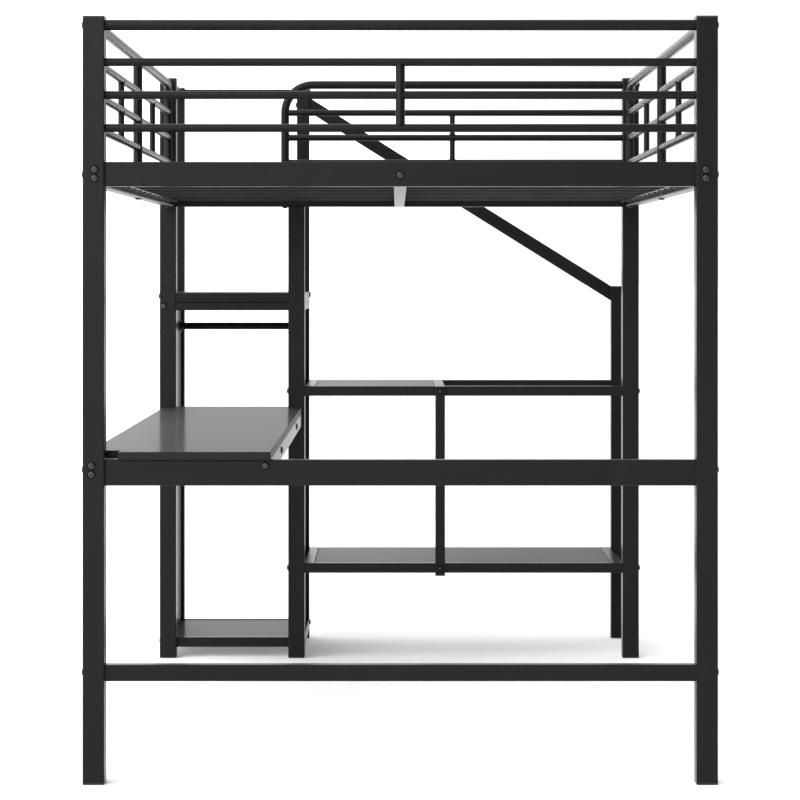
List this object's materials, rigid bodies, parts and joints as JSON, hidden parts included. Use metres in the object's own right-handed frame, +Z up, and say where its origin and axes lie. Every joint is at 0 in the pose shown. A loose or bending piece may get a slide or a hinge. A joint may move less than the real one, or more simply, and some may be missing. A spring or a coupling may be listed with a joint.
{
  "type": "loft bed",
  "caption": "Full-size metal loft bed with guard rails, a long desk under its left side, and a rear stair with shelves, a wardrobe and a sloping handrail.",
  "frame": {"origin": "on the floor, in the middle of the object's outline", "axes": "+Z up, +Y along the bed from its foot end to the stair unit, +X across the bed, away from the desk"},
  "size_m": [1.4792, 2.4022, 1.78],
  "materials": {
    "black_metal": "satin black powder coat",
    "black_laminate": "smooth black laminate on particle board",
    "black_plastic": "moulded black plastic",
    "black_steel": "black oxide steel",
    "beech": "plain turned wood"
  },
  "bodies": {
    "root": {"front_left_post": "black_metal", "front_right_post": "black_metal", "rear_left_post": "black_metal", "rear_right_post": "black_metal", "tower_middle_post": "black_metal", "tower_rear_left_post": "black_metal", "tower_rear_middle_post": "black_metal", "stair_rear_post": "black_metal", "front_bed_rail": "black_metal", "front_desk_rail": "black_metal", "front_bottom_bar": "black_metal", "front_top_tube": "black_metal", "front_guard_rods": "black_metal", "rear_bed_rail": "black_metal", "left_bed_rail": "black_metal", "right_bed_rail": "black_metal", "centre_beam": "black_metal", "left_slats": "black_metal", "right_slats": "black_metal", "left_guard_hoop": "black_metal", "left_guard_rods": "black_metal", "right_guard_hoop": "black_metal", "right_guard_rods": "black_metal", "rear_guard_hoop": "black_metal", "rear_guard_rods": "black_metal", "desk_left_rail": "black_metal", "desk_right_rail": "black_metal", "desk_rear_rail": "black_metal", "desk_cross_bars": "black_metal", "first_step_frame": "black_metal", "second_step_frame": "black_metal", "third_step_frame": "black_metal", "shelf_post": "black_metal", "handrail": "black_metal", "landing_frame": "black_metal", "wardrobe_top_rails": "black_metal", "wardrobe_floor_frame": "black_metal", "hanging_rod": "black_metal", "tower_top_bars": "black_metal", "tower_spigots": "black_metal", "desk_board": "black_laminate", "first_step_board": "black_laminate", "second_step_board": "black_laminate", "third_step_board": "black_laminate", "landing_board": "black_laminate", "wardrobe_floor_board": "black_laminate", "wardrobe_left_panel": "black_laminate", "wardrobe_right_panel": "black_laminate", "post_foot_caps": "black_plastic", "post_top_caps": "black_plastic", "hanging_rod_cups": "black_plastic", "cross_rail_bolts": "black_steel", "bed_rail_bolts": "black_steel", "guard_bolts": "black_steel", "desk_bolts": "black_steel", "stair_bolts": "black_steel", "tower_bolts": "black_steel", "slat_screws": "black_steel", "board_screws": "black_steel", "panel_dowels": "beech"}
  },
  "joints": []
}
